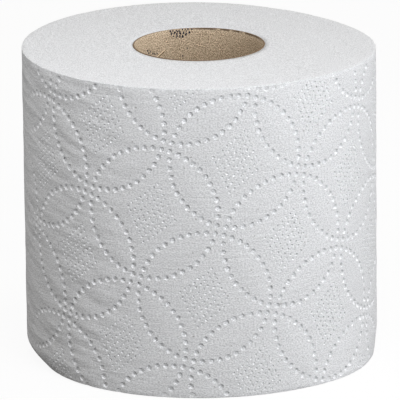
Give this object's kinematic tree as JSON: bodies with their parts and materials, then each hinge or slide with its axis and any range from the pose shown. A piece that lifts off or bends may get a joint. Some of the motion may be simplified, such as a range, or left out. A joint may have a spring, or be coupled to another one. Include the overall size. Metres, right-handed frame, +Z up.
{
  "type": "toilet paper roll",
  "caption": "Upright roll of embossed white toilet paper on a paperboard tube, its pressed rings crossing in petals.",
  "frame": {"origin": "centre of the base, on the axis of the roll, at the level it stands on", "axes": "+Z up along the roll's axis, -Y towards the front as pictured, +X to its right"},
  "size_m": [0.1142, 0.1142, 0.1016],
  "materials": {
    "tissue": "soft, matte, embossed",
    "paperboard": "matte, grey-brown"
  },
  "bodies": {
    "root": {"tissue_roll": "tissue", "cardboard_core": "paperboard"}
  },
  "joints": []
}
